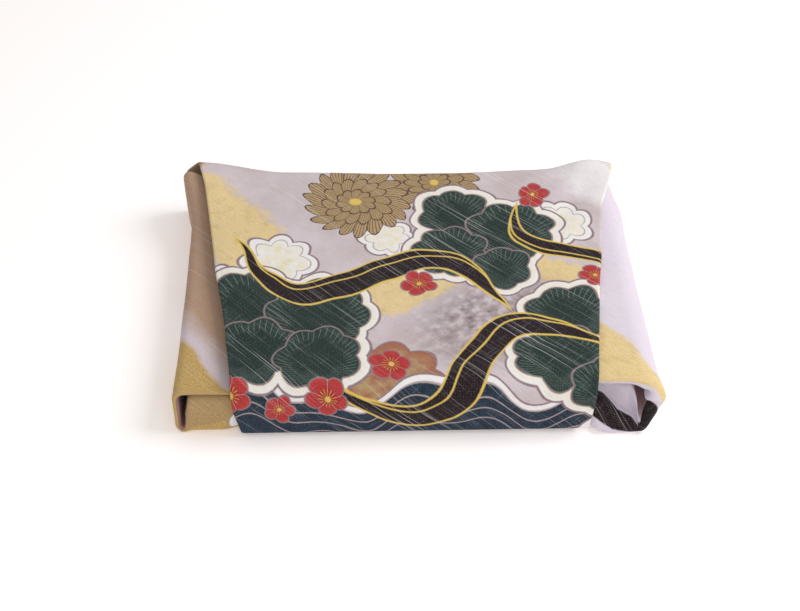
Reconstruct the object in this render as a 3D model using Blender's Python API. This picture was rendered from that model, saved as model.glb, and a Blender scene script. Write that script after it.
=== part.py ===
"""A square furoshiki cloth folded as a flat wrap, with no knot: one thin solid in many layers.

The cloth lies with its corners towards the front, the back and both sides. The front corner is folded up
and over, then the left flap, then the right one, and last the back flap comes over the top as a band
that narrows towards the front and tucks in under the base. Metres, +Z up, front towards -Y.
"""

import math

import bmesh
import bpy

# The cloth
CLOTH_SIDE = 0.680
THICKNESS = 0.0010
PITCH = 0.00142  # from one layer's middle to the next one's
PRINT_COLOUR = (0.69, 0.62, 0.62)
ROUGHNESS = 0.9

# The folded wrap
HALF_WIDTH = 0.140  # to the outside of the side rolls
FRONT = 0.096  # from the middle to the front panel
BACK = 0.0985  # from the middle to the back wall

# Front flap: up the front, over the top, down the back and forward again on the base
POCKET_HEIGHT = 0.0225
POCKET_CORNER = 0.004
POCKET_BACK = 0.083
TIP_HEIGHT = 0.0045  # of the flap's tip inside the pocket
BACK_TURN = 0.289  # the cloth's row, from the middle, where the flap turns down the back
POCKET_ENDS = {"left": (0.1258, 0.1338), "right": (0.1135, 0.1210)}  # full height, and flat
RIM_REACH = {"left": 0.003, "right": 0.003}  # how far the rims of the rolls stand in front
RIM_PUFF = {"left": 0.0, "right": 0.0045}  # how much thicker than the flat fold they are
RIM_SETTLE = 0.024  # they are flat again this far behind
BASE_ROW = -0.050  # the base is taken forward to the rims from here on
LIP_START = (0.084, 0.098)  # the right rim goes on as a lip at the panel's foot
LIP_DEPTH = 0.005
LIP_BEND = 0.002

# Side flaps: their rolls run front to back, and their layers lie over the front flap
SIDE_HEIGHT = {"left": 0.0269, "right": 0.0313}
SIDE_CORNER = {"left": 0.006, "right": 0.014}
SIDE_TIP = {"left": 0.120, "right": 0.107}  # how far past the middle the tips turn under
TIP_RADIUS = 0.0009
SIDE_DROP = {"left": (0.0848, 0.0918), "right": (0.0862, 0.0932)}  # where the rolls end at the back
SIDE_FLAT = {"left": (PITCH, PITCH), "right": (2 * PITCH, PITCH)}  # behind the rolls, and in the band
FLAT_CHANGE = (0.262, 0.300)
FLAT_ROWS = (0.100, 0.300)  # whose folds also set where the columns of points lie
BAND_EDGE = {  # half the band's width along the cloth, from the back wall to the tuck
    "left": (
        (0.093, 0.140), (0.137, 0.1375), (0.152, 0.1332), (0.230, 0.1210), (0.290, 0.1102),
        (0.322, 0.1050), (0.346, 0.1040), (0.395, 0.0950), (0.480, 0.0900),
    ),
    "right": (
        (0.093, 0.140), (0.140, 0.1355), (0.170, 0.1256), (0.230, 0.1169), (0.290, 0.1075),
        (0.330, 0.1016), (0.362, 0.0995), (0.395, 0.0935), (0.480, 0.0880),
    ),
}

# Back flap: the band over the top
BAND_HEIGHT = 0.0357
BAND_FRONT = 0.104
BAND_FOOT = 2 * PITCH
BAND_BACK_CORNERS = (0.005, 0.006)  # at the floor, and at the top
BAND_FRONT_CORNERS = (0.012, 0.005)  # at the top, and at the floor

# The soft shape: only what lies above the base's layers sags or rises
HOLLOW = (0.003, 0.020)
TOP_SAG = 0.0050
SAG_MIDDLE = (0.010, 0.030)
SAG_REACH = (0.150, 0.170)
TOP_CORNERS = (  # x, y, reach, height
    (-0.138, 0.095, 0.110, 0.0045),
    (0.125, 0.098, 0.110, 0.0040),
)
LEFT_NARROWER = (0.0015, 0.0030)  # drawn in midway, and narrower in front than behind
RIGHT_WIDER = 0.0015
TUCK_SPACE = (0.109, 0.030)  # the base stays up above the tuck within these, across and towards its point

RIGHT_ANGLE = math.pi / 2
HALF_DIAGONAL = CLOTH_SIDE / math.sqrt(2.0)


def rise(value, start, end):
    """0 up to start, 1 from end on, and a smooth rise between them."""
    t = min(1.0, max(0.0, (value - start) / (end - start)))
    return t * t * (3.0 - 2.0 * t)


def blend(a, b, t):
    return a + (b - a) * t


def from_table(rows, value):
    """Straight between the rows, level beyond them."""
    for (a, first), (b, second) in zip(rows, rows[1:]):
        if value <= b:
            return blend(first, second, max(0.0, (value - a) / (b - a)))
    return rows[-1][1]


def arc(radius, turn=RIGHT_ANGLE):
    return (radius * abs(turn), turn)


def walk(way, along, inside=0.0):
    """Where a point of the cloth comes to lie that is `along` past the start of a fold.

    The way is a list of (length, turn). It starts level, and a positive turn bends it up and back over
    itself. `inside` is how far the point lies on the inner side. Gives (outwards, up).
    """
    out, up, heading = 0.0, 0.0, 0.0
    for length, turn in way:
        run = min(along, length)
        if run <= 0.0:
            continue
        if turn:
            radius = length / turn
            turned = heading + turn * run / length
            out += radius * (math.sin(turned) - math.sin(heading))
            up -= radius * (math.cos(turned) - math.cos(heading))
            heading = turned
        else:
            out += run * math.cos(heading)
            up += run * math.sin(heading)
        along -= run
    return out - inside * math.sin(heading), up + inside * math.cos(heading)


def side_of(x):
    return "left" if x < 0 else "right"


def front_ways(x):
    """The three ways up the front at x, each with its share and its start: panel, lipped panel, rim."""
    side = side_of(x)
    roll_top = HALF_WIDTH + SIDE_HEIGHT[side]
    beside = 1.0 - rise(abs(x), roll_top - 0.014, roll_top + 0.006)
    radius = PITCH + RIM_PUFF[side] * beside / 2
    reach = FRONT + RIM_REACH[side] * beside
    flat = rise(abs(x), *POCKET_ENDS[side])
    lipped = rise(x, *LIP_START)
    wall = POCKET_HEIGHT - 2 * POCKET_CORNER
    lipped_wall = POCKET_HEIGHT - 2 * radius - LIP_BEND - POCKET_CORNER
    panel = [arc(POCKET_CORNER), (wall, 0.0), arc(POCKET_CORNER)]
    lip = [arc(radius, math.pi), (LIP_DEPTH, 0.0), arc(LIP_BEND, -RIGHT_ANGLE), (lipped_wall, 0.0),
           arc(POCKET_CORNER)]
    rim = [arc(radius, math.pi)]
    return (
        ((1.0 - flat) * (1.0 - lipped), POCKET_CORNER - FRONT, panel),
        ((1.0 - flat) * lipped, radius - reach, lip),
        (flat, radius - reach, rim),
    )


def length_of(way):
    return sum(length for length, _ in way)


def back_way(drop):
    """Down the back, from the top to where the flap runs forward again inside."""
    corner = min(POCKET_CORNER, drop / 2)
    # low down, the wall itself takes part in the turn
    round_wall = max(0.02, 1.05 * (1.0 - rise(drop - 2 * corner, 0.0, 0.004)))
    turn = (math.pi - round_wall) / 2
    wall = round_wall * (drop / 2 - corner * (1.0 - math.cos(turn))) / math.cos(turn)
    return [arc(corner, turn), (wall, round_wall), arc(corner, turn)]


def fold_front(x, y):
    """The front flap round the pocket. In the rolls the pocket falls to a flat fold, their rim."""
    ways = front_ways(x)
    start = sum(share * begin for share, begin, _ in ways)
    front_row, front_length = POCKET_CORNER - FRONT, length_of(ways[0][2])
    if y >= front_row:
        return x, y + (start - front_row) * max(0.0, (y - BASE_ROW) / (front_row - BASE_ROW)), 0.0
    part = (front_row - y) / front_length
    out, up = 0.0, 0.0
    for share, _, way in ways:
        if share:
            part_out, part_up = walk(way, min(1.0, part) * length_of(way))
            out += share * part_out
            up += share * part_up
    if part <= 1.0:
        return x, start - out, up
    flat = ways[2][0]
    height = blend(POCKET_HEIGHT, 2 * PITCH, flat)
    drop = blend(POCKET_HEIGHT - TIP_HEIGHT, PITCH, flat)
    back = POCKET_BACK - min(POCKET_CORNER, drop / 2)
    along = front_row - front_length - y
    over = along / (BACK_TURN + front_row - front_length)
    if over <= 1.0:
        thicker = (up - height) * (1.0 - rise(along, 0.0, RIM_SETTLE))
        return x, blend(start - out, back, over), height + thicker
    beyond, part = -y - BACK_TURN, 0.0
    for (full, _), (here, _) in zip(back_way(POCKET_HEIGHT - TIP_HEIGHT), back_way(drop)):
        part += here * min(1.0, max(0.0, beyond / full))
        beyond -= full
    behind, down = walk(back_way(drop), part)
    return x, back + behind - max(0.0, beyond), height - down


def side_way(side, y):
    """A side flap's way at y, and how far from the middle it starts."""
    start, end = SIDE_DROP[side]
    roll, flat = SIDE_HEIGHT[side], blend(*SIDE_FLAT[side], rise(y, *FLAT_CHANGE))
    height = blend(roll, flat, rise(y, start, end))
    corner = min(SIDE_CORNER[side], height / 2)
    begin = from_table(BAND_EDGE[side], y) - corner
    over = [arc(corner), (height - 2 * corner, 0.0), arc(corner)]
    if y < start:
        over += [(begin + SIDE_TIP[side], 0.0), arc(TIP_RADIUS, math.pi)]
    return begin, over + [(math.inf, 0.0)]


def tip_row(side):
    """How far from the middle row the flap's free edge comes just as far as where the tip turns."""
    corner = SIDE_CORNER[side]
    over = 2 * corner * RIGHT_ANGLE + SIDE_HEIGHT[side] - 2 * corner
    return HALF_DIAGONAL - 2 * (HALF_WIDTH - corner) - over - SIDE_TIP[side]


def fold_side(side, x, y, z):
    """A side flap round its roll and over the top. Behind the rolls it is folded flat, as the band's edge."""
    sign = -1.0 if side == "left" else 1.0
    begin, way = side_way(side, y)
    if sign * x <= begin:
        return x, y, z
    out, up = walk(way, sign * x - begin, z)
    return sign * (begin + out), y, up


def band_way():
    foot, back_top = BAND_BACK_CORNERS
    front_top, front_foot = BAND_FRONT_CORNERS
    return [
        arc(foot),
        (BAND_HEIGHT - foot - back_top, 0.0),
        arc(back_top),
        (BACK - back_top + BAND_FRONT - front_top, 0.0),
        arc(front_top),
        (BAND_HEIGHT + BAND_FOOT - front_top - front_foot, 0.0),
        arc(front_foot),
        (math.inf, 0.0),
    ]


def fold_back(x, y, z):
    """The back flap: up the back, over the top, down the front and in under the base."""
    start = BACK - BAND_BACK_CORNERS[0]
    if y <= start:
        return x, y, z
    out, up = walk(band_way(), y - start, z)
    return x, start + out, up


def settled(x, y, z):
    """The soft shape: a sagging top, raised back corners, drawn-in sides and a base down on the floor."""
    hollow = rise(z, *HOLLOW)
    lift = -TOP_SAG
    for value, middle, reach in zip((x, y), SAG_MIDDLE, SAG_REACH):
        lift *= 1.0 - rise(abs(value - middle), 0.0, reach)
    for corner_x, corner_y, reach, height in TOP_CORNERS:
        away = math.hypot(x - corner_x, y - corner_y)
        lift += height * (1.0 - rise(away, 0.0, reach))
    beside_tuck = max(abs(x) - TUCK_SPACE[0], (abs(x) + y - TUCK_SPACE[1]) / math.sqrt(2.0))
    lower = BAND_FOOT * rise(beside_tuck, 0.0, 0.024) * rise(z, -BAND_FOOT, 0.0)
    along = y / 0.1
    inwards = rise(-x, 0.060, 0.130) * (LEFT_NARROWER[0] * (1.0 - along * along) - LEFT_NARROWER[1] * along)
    outwards = rise(x, 0.060, 0.130) * RIGHT_WIDER * max(0.0, -along)
    return x + inwards + outwards, y, z + lift * hollow - lower * (1.0 - hollow)


def folded(p, q):
    """Where the cloth's point (p, q), measured flat from its middle, lies in the wrap."""
    point = fold_front(p, q)
    point = fold_side("left", *point)
    point = fold_side("right", *point)
    return settled(*fold_back(*point))


def stops(begin, way, step, end=0.0, turn_step=0.6):
    """Where along a way the cloth needs points: every turn_step of a bend and every step of a straight."""
    found, at = [begin], begin
    for length, turn in way:
        length = min(length, max(0.0, end - at))
        count = max(1, math.ceil(length / step), math.ceil(abs(turn) / turn_step))
        found += [at + length * (i + 1) / count for i in range(count)]
        at += length
    return found


def thinned(values, least):
    kept = []
    for value in sorted(values):
        if not kept or value - kept[-1] >= least:
            kept.append(value)
    return kept


def columns():
    """The cloth's columns of points, as distances from its middle line. Behind, they follow the band."""
    step, end = 0.034, 0.485
    lines = stops(-0.110, [(0.194, 0.0)], step, 0.084) + [0.084, 0.092, 0.100]
    for side, sign in (("left", -1.0), ("right", 1.0)):
        full, flat = POCKET_ENDS[side]
        lines += [sign * blend(full, flat, part) for part in (0.0, 0.22, 0.41, 0.59, 0.78, 1.0)]
        begin, way = side_way(side, 0.0)
        found = stops(begin, way, step, end, 0.53)
        for row in FLAT_ROWS:
            begin, way = side_way(side, row)
            shift = HALF_WIDTH - from_table(BAND_EDGE[side], row)
            found += [stop + shift for stop in stops(begin, way[:3], step, end, 0.8)]
        lines += [sign * stop for stop in thinned(found, 0.0006)]
    return thinned(lines, 0.0005)


def rows():
    """The cloth's rows of points, front to back."""
    step, end = 0.038, 0.485
    front_row, panel = FRONT - POCKET_CORNER, front_ways(0.0)[0][2]
    top_row = front_row + length_of(panel)
    lines = [-stop for stop in stops(front_row, panel, 0.0055, end)]
    lines += [-(top_row + RIM_SETTLE * part) for part in (0.33, 0.67, 1.0)]
    settled_row = top_row + RIM_SETTLE
    lines += [-stop for stop in stops(settled_row, [(BACK_TURN - settled_row, 0.0)], step, end)]
    inside = back_way(POCKET_HEIGHT - TIP_HEIGHT) + [(math.inf, 0.0)]
    lines += [-stop for stop in stops(BACK_TURN, inside, 0.053, end, 0.8)]
    lines += [BASE_ROW, -0.018, 0.018]
    lines += [sign * tip_row(side) for side in SIDE_TIP for sign in (-1.0, 1.0)]
    drop_start, drop_end = SIDE_DROP["left"][0], SIDE_DROP["right"][1]
    lines += stops(drop_start, [(drop_end - drop_start, 0.0)], 0.0017, end)
    lines += stops(BACK - BAND_BACK_CORNERS[0], band_way(), step, end, 0.6)
    lines += [row for side in BAND_EDGE for row, _ in BAND_EDGE[side][2:-1]] + list(FLAT_CHANGE)
    return thinned(lines, 0.0013)


def printed_cotton():
    """Matt cotton in the print's average colour."""
    material = bpy.data.materials.new("printed_cotton")
    material.use_nodes = True
    surface = material.node_tree.nodes["Principled BSDF"]
    surface.inputs["Base Color"].default_value = (*PRINT_COLOUR, 1.0)
    surface.inputs["Roughness"].default_value = ROUGHNESS
    surface.inputs["Metallic"].default_value = 0.0
    return material


def make_cloth():
    xs, ys = columns(), rows()
    bm = bmesh.new()
    bmesh.ops.create_grid(bm, x_segments=len(xs) - 1, y_segments=len(ys) - 1, size=1.0)
    place = bm.verts.layers.float_vector.new("place")
    for vert in bm.verts:
        i = round((vert.co.x + 1.0) / 2.0 * (len(xs) - 1))
        j = round((vert.co.y + 1.0) / 2.0 * (len(ys) - 1))
        x, y = xs[i], ys[j]
        narrower = HALF_WIDTH - from_table(BAND_EDGE[side_of(x)], y)
        vert.co.x = x - math.copysign(narrower * min(1.0, abs(x) / 0.12), x)
        vert.co.y = y
        vert[place] = folded(vert.co.x, vert.co.y)
    for sx, sy in ((1, 1), (1, -1), (-1, 1), (-1, -1)):
        bmesh.ops.bisect_plane(
            bm,
            geom=bm.verts[:] + bm.edges[:] + bm.faces[:],
            dist=2e-5,
            plane_co=(sx * HALF_DIAGONAL, 0.0, 0.0),
            plane_no=(sx, sy, 0.0),
            clear_outer=True,
        )
    for vert in bm.verts:
        vert.co = vert[place]
    points = [vert.co for vert in bm.verts]
    middle = [(min(co[axis] for co in points) + max(co[axis] for co in points)) / 2 for axis in (0, 1)]
    bottom = min(co.z for co in points) - THICKNESS / 2
    bmesh.ops.translate(bm, verts=bm.verts[:], vec=(-middle[0], -middle[1], -bottom))
    for face in bm.faces:
        face.smooth = True
    mesh = bpy.data.meshes.new("cloth")
    bm.to_mesh(mesh)
    bm.free()
    mesh.materials.append(printed_cotton())
    obj = bpy.data.objects.new("cloth", mesh)
    bpy.context.scene.collection.objects.link(obj)
    sheet = obj.modifiers.new("thickness", "SOLIDIFY")
    sheet.thickness = THICKNESS
    sheet.offset = 0.0
    return obj


def main():
    for obj in list(bpy.data.objects):
        bpy.data.objects.remove(obj)
    make_cloth()


main()
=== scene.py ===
# %% [markdown]
# # A furoshiki, folded as a flat wrap
#
# The object is one square cotton cloth, 68 cm along its sides, printed in many colours and folded round a
# flat bundle. It lies with its corners towards the front, the back and both sides: the front corner goes up
# and over, the side flaps follow and make a roll at each end, and the back flap comes over the top as a
# wide band that tucks in under the base. There is no knot and no sewn piece, so this lesson has one mesh.
#
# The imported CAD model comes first. It is the frame that the soft mesh has to stay with.

# %% Load the frame
import math

import bmesh
import bpy
from mathutils import Matrix, Vector, noise


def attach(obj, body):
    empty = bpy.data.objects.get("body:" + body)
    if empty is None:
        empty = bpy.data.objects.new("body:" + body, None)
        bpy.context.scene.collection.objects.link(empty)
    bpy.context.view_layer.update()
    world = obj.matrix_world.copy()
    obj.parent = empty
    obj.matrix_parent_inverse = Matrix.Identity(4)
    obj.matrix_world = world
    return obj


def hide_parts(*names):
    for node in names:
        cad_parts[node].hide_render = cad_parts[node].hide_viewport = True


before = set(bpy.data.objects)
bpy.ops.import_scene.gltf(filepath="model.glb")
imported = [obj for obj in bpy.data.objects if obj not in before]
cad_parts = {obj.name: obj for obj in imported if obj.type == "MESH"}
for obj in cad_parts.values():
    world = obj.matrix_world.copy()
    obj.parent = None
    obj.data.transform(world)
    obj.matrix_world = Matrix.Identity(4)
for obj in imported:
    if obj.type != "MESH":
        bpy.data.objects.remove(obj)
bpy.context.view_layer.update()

# %% [markdown]
# ## The camera
#
# The photograph looks down on the wrap from the front, a little over 40 degrees above the table, from about
# 80 cm away. A camera needs a place, a point to look at, a lens and, when the horizon isn't quite level, a
# little roll. Aiming it with a tracking quaternion and turning that round its own axis keeps the four apart.

# %% Camera
EYE = Vector((-0.0134, -0.5834, 0.5620))
LOOKED_AT = Vector((-0.0061, -0.0096, 0.0150))
LENS_MM = 57.6
ROLL = math.radians(-0.31)

lens = bpy.data.cameras.new("camera")
lens.sensor_width = 36.0
lens.lens = LENS_MM
lens.clip_start = 0.01
camera = bpy.data.objects.new("camera", lens)
bpy.context.scene.collection.objects.link(camera)
bpy.context.scene.camera = camera
camera.location = EYE
camera.rotation_mode = "QUATERNION"
aim = (LOOKED_AT - EYE).to_track_quat("-Z", "Y")
camera.rotation_quaternion = aim @ Matrix.Rotation(ROLL, 3, "Z").to_quaternion()
print("camera", round((LOOKED_AT - EYE).length, 3), "m from what it looks at")

# %% [markdown]
# ## Helpers for curves and folds
#
# Every fold here is the same idea: cloth runs level, bends round an edge, runs on, bends again. So a fold is
# a *way*, a list of (length, turn) stretches, and `walk` says where a point of the cloth comes to lie after
# so many metres of it. Fold after fold, each point of the flat square finds its place in the wrap, and the
# cloth keeps its length, because nothing is stretched on the way.

# %% Curves
RIGHT_ANGLE = math.pi / 2


def rise(value, start, end):
    """0 up to start, 1 from end on, and a smooth rise between them."""
    t = min(1.0, max(0.0, (value - start) / (end - start)))
    return t * t * (3.0 - 2.0 * t)


def blend(a, b, t):
    return a + (b - a) * t


def from_table(rows, value):
    """Straight between the rows, level beyond them."""
    for (a, first), (b, second) in zip(rows, rows[1:]):
        if value <= b:
            return blend(first, second, max(0.0, (value - a) / (b - a)))
    return rows[-1][1]


def arc(radius, turn=RIGHT_ANGLE):
    return (radius * abs(turn), turn)


def length_of(way):
    return sum(length for length, _ in way)


def walk(way, along, inside=0.0):
    """Where a point `along` past the start of a fold lies, and `inside` it by the layers below."""
    out, up, heading = 0.0, 0.0, 0.0
    for length, turn in way:
        run = min(along, length)
        if run <= 0.0:
            continue
        if turn:
            radius = length / turn
            turned = heading + turn * run / length
            out += radius * (math.sin(turned) - math.sin(heading))
            up -= radius * (math.cos(turned) - math.cos(heading))
            heading = turned
        else:
            out += run * math.cos(heading)
            up += run * math.sin(heading)
        along -= run
    return out - inside * math.sin(heading), up + inside * math.cos(heading)


print("a quarter turn of 10 mm radius ends at", [round(v, 4) for v in walk([arc(0.010)], 1.0)])

# %% [markdown]
# ## The front flap
#
# The front corner of the square is folded first. It goes up the front of the bundle, over its top, down at
# the back and forward again inside. Under the side rolls there is no bundle left, and the same flap falls
# to a flat double fold, which shows as the rim of each roll's open end. Its sizes come first. Here and
# later on, a pair of numbers says where a change starts and where it is complete.

# %% Front flap: sizes
CLOTH_SIDE = 0.680
HALF_DIAGONAL = CLOTH_SIDE / math.sqrt(2.0)
PITCH = 0.00142  # from one layer to the next
HALF_WIDTH = 0.140
FRONT = 0.096
BACK = 0.0985
BASE_ROW = -0.050  # in front of this row the base reaches on to the rim
POCKET_HEIGHT = 0.0225
POCKET_CORNER = 0.004
POCKET_BACK = 0.083
POCKET_ENDS = {"left": (0.1300, 0.1375), "right": (0.1225, 0.1300)}
TIP_HEIGHT = 0.0045
BACK_TURN = 0.289  # from the middle row to where the flap turns down inside
BACK_BULGE = (0.02, 1.05)  # how far the wall there is rounded: a high fold, a low fold
BACK_BULGE_BELOW = 0.004
SIDE_HEIGHT = {"left": 0.0269, "right": 0.0313}


def side_of(x):
    return "left" if x < 0 else "right"


print("the square is", round(2 * HALF_DIAGONAL * 1000), "mm from corner to corner")

# %% [markdown]
# ## The rim and the lip
#
# The right rim is puffy and hangs in three soft pleats, and it runs on as a small lip at the foot of the
# front panel. Nearer the band the lip stands on a wall of cloth. A separate tube would have to be joined to
# the flap all along, so the rim is a half turn in the flap's own way, and `puff` says how thick it is.

# %% Rim and lip
RIM_REACH = {"left": 0.0005, "right": 0.003}
RIM_PUFF = {"left": 0.0, "right": 0.0045}
RIM_PUFF_ON_WALL = 0.0020
RIM_WALL = (0.148, 0.160)
RIM_TOP = (-0.014, 0.006)  # from the roll's top edge, where the rim's own form ends
RIM_SETTLE = 0.024
RIM_PLEATS = (  # distance from the middle along the cloth, reach, depth
    (0.1600, 0.0060, 0.0050),
    (0.1725, 0.0060, 0.0062),
    (0.1850, 0.0060, 0.0035),
)
LIP_START = (0.084, 0.098)
LIP_DEPTH = 0.005
LIP_BEND = 0.002
LIP_FOOT = 0.0015
LIP_CLIMB = 0.0115
LIP_CLIMB_ENDS = (0.100, 0.128)


def puff(x):
    """How much thicker than a flat fold the rim is."""
    if x < 0:
        return RIM_PUFF["left"]
    pleats = sum(depth * (1.0 - rise(abs(x - middle), 0.0, reach)) for middle, reach, depth in RIM_PLEATS)
    return blend(RIM_PUFF["right"], RIM_PUFF_ON_WALL, rise(x, *RIM_WALL)) + pleats


def front_ways(x):
    """The three ways up the front at x, each with its share and its start: panel, lipped panel, rim."""
    side = side_of(x)
    roll_top = HALF_WIDTH + SIDE_HEIGHT[side]
    beside = 1.0 - rise(abs(x), roll_top + RIM_TOP[0], roll_top + RIM_TOP[1])
    radius = PITCH + puff(x) * beside / 2
    reach = FRONT + RIM_REACH[side] * beside
    flat = rise(abs(x), *POCKET_ENDS[side])
    lipped = rise(x, *LIP_START)
    climbed = 1.0 - rise(x, *LIP_CLIMB_ENDS)
    climb, foot = LIP_CLIMB * climbed, blend(radius, LIP_FOOT, climbed)
    wall = POCKET_HEIGHT - 2 * POCKET_CORNER
    lipped_wall = POCKET_HEIGHT - foot - climb - radius - LIP_BEND - POCKET_CORNER
    panel = [arc(POCKET_CORNER), (wall, 0.0), arc(POCKET_CORNER)]
    lip = [arc(foot), (climb, 0.0), arc(radius), (LIP_DEPTH, 0.0), arc(LIP_BEND, -RIGHT_ANGLE),
           (lipped_wall, 0.0), arc(POCKET_CORNER)]
    rim = [arc(radius, math.pi)]
    return (
        ((1.0 - flat) * (1.0 - lipped), POCKET_CORNER - FRONT, panel),
        ((1.0 - flat) * lipped, foot - reach, lip),
        (flat, radius - reach, rim),
    )


print("the front panel is", round(length_of(front_ways(0.0)[0][2]) * 1000), "mm of cloth up the front")

# %% [markdown]
# ## Folding the front flap
#
# The three ways are mixed by their shares, so that the panel runs into the lip and the lip into the rim
# without a seam. Then the flap runs level over the bundle, and turns down and forward behind it. Where the
# fold is low that turn is one round bow, because two small corners would crowd.

# %% Front flap: fold
def back_way(drop):
    """Down the back, from the top to where the flap runs forward again inside."""
    corner = min(POCKET_CORNER, drop / 2)
    least, most = BACK_BULGE
    round_wall = max(least, most * (1.0 - rise(drop - 2 * corner, 0.0, BACK_BULGE_BELOW)))
    turn = (math.pi - round_wall) / 2
    wall = round_wall * (drop / 2 - corner * (1.0 - math.cos(turn))) / math.cos(turn)
    return [arc(corner, turn), (wall, round_wall), arc(corner, turn)]


def fold_front(x, y):
    ways = front_ways(x)
    start = sum(share * begin for share, begin, _ in ways)
    front_row, front_length = POCKET_CORNER - FRONT, length_of(ways[0][2])
    if y >= front_row:
        return x, y + (start - front_row) * max(0.0, (y - BASE_ROW) / (front_row - BASE_ROW)), 0.0
    part = (front_row - y) / front_length
    out, up = 0.0, 0.0
    for share, _, way in ways:
        if share:
            part_out, part_up = walk(way, min(1.0, part) * length_of(way))
            out += share * part_out
            up += share * part_up
    if part <= 1.0:
        return x, start - out, up
    flat = ways[2][0]
    height = blend(POCKET_HEIGHT, 2 * PITCH, flat)
    drop = blend(POCKET_HEIGHT - TIP_HEIGHT, PITCH, flat)
    back = POCKET_BACK - min(POCKET_CORNER, drop / 2)
    along = front_row - front_length - y
    over = along / (BACK_TURN + front_row - front_length)
    if over <= 1.0:
        thicker = (up - height) * (1.0 - rise(along, 0.0, RIM_SETTLE))
        return x, blend(start - out, back, over), height + thicker
    beyond, part = -y - BACK_TURN, 0.0
    for (full, _), (here, _) in zip(back_way(POCKET_HEIGHT - TIP_HEIGHT), back_way(drop)):
        part += here * min(1.0, max(0.0, beyond / full))
        beyond -= full
    behind, down = walk(back_way(drop), part)
    return x, back + behind - max(0.0, beyond), height - down


print("the front corner lies", round(fold_front(0.0, -HALF_DIAGONAL)[2] * 1000, 1), "mm above the base")

# %% [markdown]
# ## The side flaps
#
# The left flap comes over next, then the right one on top of it. What shows of each is a roll along the
# side, softer and rounder on the right. Their tips turn under on the far side, and behind the rolls they
# are pressed flat, as the band's own edges. `BAND_EDGE` is half the band's width, row by row along the
# cloth: it is as wide as the wrap at the back and narrower in front.

# %% Side flaps
SIDE_CORNER = {"left": 0.006, "right": 0.014}
SIDE_TIP = {"left": 0.120, "right": 0.107}
TIP_RADIUS = 0.0009
SIDE_DROP = {"left": (0.0848, 0.0918), "right": (0.0862, 0.0932)}
SIDE_FLAT = {"left": (PITCH, PITCH), "right": (2 * PITCH, PITCH)}
FLAT_CHANGE = (0.262, 0.300)
BAND_EDGE = {
    "left": (
        (0.093, 0.140), (0.112, 0.1398), (0.124, 0.1372), (0.136, 0.1346), (0.152, 0.1308),
        (0.230, 0.1205), (0.290, 0.1102), (0.322, 0.1050), (0.346, 0.1040), (0.395, 0.0950),
        (0.480, 0.0900),
    ),
    "right": (
        (0.093, 0.140), (0.140, 0.1355), (0.170, 0.1256), (0.230, 0.1169), (0.290, 0.1075),
        (0.330, 0.1016), (0.362, 0.0995), (0.395, 0.0935), (0.480, 0.0880),
    ),
}


def side_way(side, y):
    """A side flap's way at y, and how far from the middle it starts."""
    start, end = SIDE_DROP[side]
    roll, flat = SIDE_HEIGHT[side], blend(*SIDE_FLAT[side], rise(y, *FLAT_CHANGE))
    height = blend(roll, flat, rise(y, start, end))
    corner = min(SIDE_CORNER[side], height / 2)
    begin = from_table(BAND_EDGE[side], y) - corner
    over = [arc(corner), (height - 2 * corner, 0.0), arc(corner)]
    if y < start:
        over += [(begin + SIDE_TIP[side], 0.0), arc(TIP_RADIUS, math.pi)]
    return begin, over + [(math.inf, 0.0)]


def fold_side(side, x, y, z):
    sign = -1.0 if side == "left" else 1.0
    begin, way = side_way(side, y)
    if sign * x <= begin:
        return x, y, z
    out, up = walk(way, sign * x - begin, z)
    return sign * (begin + out), y, up


for side in ("left", "right"):
    print(side, "flap starts", round(side_way(side, 0.0)[0] * 1000, 1), "mm from the middle")

# %% [markdown]
# ## The band
#
# Last, the back flap goes up the back, over the top and down the front, and its corner is tucked in under
# the base. It is the wide printed band that fills most of the view.

# %% Band
BAND_HEIGHT = 0.0357
BAND_FRONT = 0.104
BAND_FOOT = 2 * PITCH
BAND_BACK_CORNERS = (0.005, 0.006)
BAND_FRONT_CORNERS = (0.012, 0.005)


def band_way():
    foot, back_top = BAND_BACK_CORNERS
    front_top, front_foot = BAND_FRONT_CORNERS
    return [
        arc(foot),
        (BAND_HEIGHT - foot - back_top, 0.0),
        arc(back_top),
        (BACK - back_top + BAND_FRONT - front_top, 0.0),
        arc(front_top),
        (BAND_HEIGHT + BAND_FOOT - front_top - front_foot, 0.0),
        arc(front_foot),
        (math.inf, 0.0),
    ]


def fold_back(x, y, z):
    start = BACK - BAND_BACK_CORNERS[0]
    if y <= start:
        return x, y, z
    out, up = walk(band_way(), y - start, z)
    return x, start + out, up


print("the band has", round(length_of(band_way()[:-1]) * 1000), "mm of cloth from the floor to the floor")

# %% [markdown]
# ## Settling
#
# A folded cloth is never a box. The top sags in the middle, the two back corners stand up, and the base
# lies down on the table everywhere but over the tuck. A lattice or a sculpting brush could shape it. Here
# it is a smooth move of space, in small steps that are added up: the layers stay in their order and never
# pass through each other, and each step can be corrected by itself.

# %% Sag, corners and base
HOLLOW = (0.003, 0.020)  # heights between which the top's moves set in
TOP_SAG = 0.0066
SAG_MIDDLE = (0.010, 0.030)
SAG_REACH = (0.150, 0.170)
TOP_CORNERS = (  # x, y, reach, height
    (-0.140, 0.097, 0.060, 0.0080),
    (0.121, 0.101, 0.028, 0.0070),
)
TUCK_SPACE = (0.1015, 0.030)
TUCK_SLOPE = 0.011


def top_lift(x, y):
    """How far the top stands up at a point, or sags."""
    lift = -TOP_SAG
    for value, middle, reach in zip((x, y), SAG_MIDDLE, SAG_REACH):
        lift *= 1.0 - rise(abs(value - middle), 0.0, reach)
    for corner_x, corner_y, reach, height in TOP_CORNERS:
        away = math.hypot(x - corner_x, y - corner_y)
        lift += height * (1.0 - rise(away, 0.0, reach))
    return lift


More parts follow.
